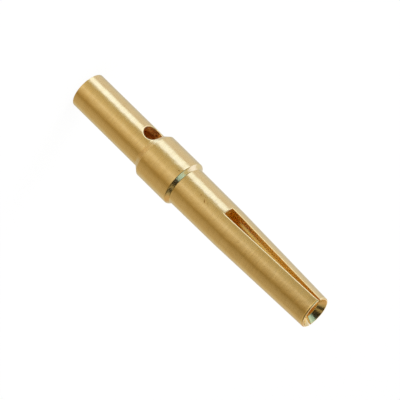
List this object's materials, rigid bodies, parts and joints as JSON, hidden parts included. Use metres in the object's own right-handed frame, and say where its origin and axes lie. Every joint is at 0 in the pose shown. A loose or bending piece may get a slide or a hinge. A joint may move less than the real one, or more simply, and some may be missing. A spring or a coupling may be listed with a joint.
{
  "type": "crimp socket contact",
  "caption": "Turned, gold-plated crimp contact with a wire barrel and inspection hole, a retention collar, and a slotted socket whose tines close on a round pin.",
  "frame": {"origin": "centre of the crimp end, on which the contact stands", "axes": "+Z along the contact's axis, from the crimp end to the mouth of the socket; the saw slot lies in the YZ plane, with the inspection hole 13 degrees from -Y towards -X"},
  "size_m": [0.0034, 0.0034, 0.0217],
  "materials": {
    "gold_plate": "bright gold plate over turned copper alloy, with fine turning marks round the axis"
  },
  "bodies": {
    "root": {"socket_contact": "gold_plate"}
  },
  "joints": []
}
